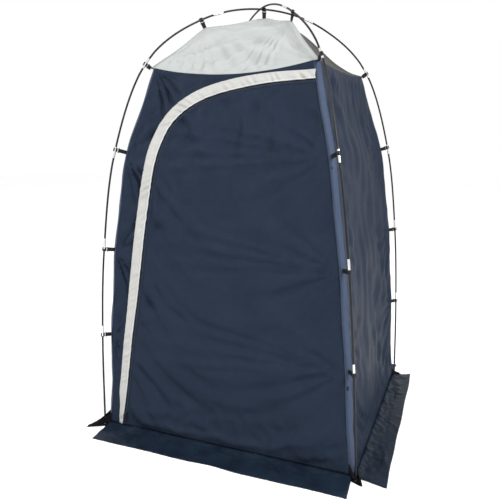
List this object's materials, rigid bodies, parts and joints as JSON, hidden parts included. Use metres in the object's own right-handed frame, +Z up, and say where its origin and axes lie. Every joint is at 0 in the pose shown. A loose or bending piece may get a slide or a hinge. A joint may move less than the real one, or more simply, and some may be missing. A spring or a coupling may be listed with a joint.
{
  "type": "toilet tent",
  "caption": "Square upright pole tent for a camp toilet, with a domed pale roof, mesh vents, a zipped side-opening door under a pale storm flap, and loose ground skirts.",
  "frame": {"origin": "on the ground, at the middle of the box round the whole tent with its skirts spread", "axes": "+Z up; the door is in the -Y face; +X is to the right as one looks at the door"},
  "size_m": [1.5148, 1.4366, 1.9598],
  "materials": {
    "wall_fabric": "navy coated polyester, fine plain weave, slight sheen",
    "roof_fabric": "pale grey coated polyester, fine plain weave",
    "roof_mesh": "fine dark see-through insect mesh",
    "storm_flap": "pale grey polyester with stitched hems",
    "skirt": "dark navy polyethylene sheet, creased and glossy",
    "zip": "black nylon coil on woven tape",
    "slider": "dark lacquered die casting",
    "puller": "black moulded plastic",
    "pole": "black fibreglass rod with bright steel ferrules",
    "clip": "black moulded hook on black webbing",
    "foot": "black woven webbing with an eyelet",
    "tie_back": "dark elastic cord"
  },
  "bodies": {
    "tent": {"back_wall": "wall_fabric", "clip_apex": "clip", "clip_hip_front_left": "clip", "clip_hip_front_right": "clip", "clip_lower_front_left": "clip", "clip_lower_front_right": "clip", "clip_lower_rear_left": "clip", "clip_lower_rear_right": "clip", "clip_mid_front_left": "clip", "clip_mid_front_right": "clip", "clip_mid_rear_left": "clip", "clip_mid_rear_right": "clip", "clip_shoulder_front_left": "clip", "clip_shoulder_front_right": "clip", "clip_shoulder_rear_left": "clip", "clip_shoulder_rear_right": "clip", "clip_upper_front_left": "clip", "clip_upper_front_right": "clip", "clip_upper_rear_left": "clip", "clip_upper_rear_right": "clip", "foot_front_left": "foot", "foot_front_right": "foot", "foot_rear_left": "foot", "foot_rear_right": "foot", "front_wall": "wall_fabric", "left_wall": "wall_fabric", "pole_a_crown": "pole", "pole_a_leg_lower_front_left": "pole", "pole_a_leg_lower_rear_right": "pole", "pole_a_leg_upper_front_left": "pole", "pole_a_leg_upper_rear_right": "pole", "pole_a_shoulder_front_left": "pole", "pole_a_shoulder_rear_right": "pole", "pole_b_crown": "pole", "pole_b_leg_lower_front_right": "pole", "pole_b_leg_lower_rear_left": "pole", "pole_b_leg_upper_front_right": "pole", "pole_b_leg_upper_rear_left": "pole", "pole_b_shoulder_front_right": "pole", "pole_b_shoulder_rear_left": "pole", "right_wall": "wall_fabric", "roof_back": "roof_fabric", "roof_front": "roof_fabric", "roof_left": "roof_mesh", "roof_right": "roof_mesh", "storm_flap": "storm_flap", "zip_wall_half": "zip"},
    "door": {"door": "wall_fabric", "zip_door_half": "zip"},
    "zip_slider": {"zip_slider": "slider"},
    "zip_puller": {"zip_puller": "puller"},
    "skirt_front": {"skirt_front": "skirt"},
    "skirt_right": {"skirt_right": "skirt"},
    "skirt_back": {"skirt_back": "skirt"},
    "skirt_left": {"skirt_left": "skirt"},
    "tie_back_upper": {"tie_back_upper": "tie_back"},
    "tie_back_lower": {"tie_back_lower": "tie_back"}
  },
  "joints": [
    {"name": "door_swing", "type": "hinge", "parent": "tent", "child": "door", "pos_m": [0.60269, -0.5474, 0.012], "axis": [-0.0888, 0.0291, 0.9956], "range_deg": [0, 115]},
    {"name": "zip_slide", "type": "slide", "parent": "door", "child": "zip_slider", "axis": [0.1409, 0.0468, 0.9889], "range_m": [0, 0.66]},
    {"name": "puller_flip", "type": "hinge", "parent": "zip_slider", "child": "zip_puller", "pos_m": [-0.47116, -0.5751, 0.07137], "axis": [-0.99, 0.0067, 0.1407], "range_deg": [0, 165]},
    {"name": "skirt_front_lift", "type": "hinge", "parent": "tent", "child": "skirt_front", "pos_m": [-0.57711, -0.57338, 0.00435], "axis": [-0.9998, -0.0206, 0], "range_deg": [0, 60]},
    {"name": "skirt_right_lift", "type": "hinge", "parent": "tent", "child": "skirt_right", "pos_m": [0.62789, -0.54737, 0.00435], "axis": [0.0318, -0.9995, 0], "range_deg": [0, 60]},
    {"name": "skirt_back_lift", "type": "hinge", "parent": "tent", "child": "skirt_back", "pos_m": [0.59205, 0.54365, 0.00435], "axis": [0.9991, -0.0418, 0], "range_deg": [0, 70]},
    {"name": "skirt_left_lift", "type": "hinge", "parent": "tent", "child": "skirt_left", "pos_m": [-0.5932, 0.59198, 0.00435], "axis": [-0.0128, 0.9999, 0], "range_deg": [0, 70]},
    {"name": "tie_back_upper_swing", "type": "hinge", "parent": "tent", "child": "tie_back_upper", "pos_m": [0.47452, -0.48434, 1.24], "axis": [0, 0, -1], "range_deg": [0, 60]},
    {"name": "tie_back_lower_swing", "type": "hinge", "parent": "tent", "child": "tie_back_lower", "pos_m": [0.57786, -0.53615, 0.38], "axis": [0, 0, -1], "range_deg": [0, 60]}
  ]
}
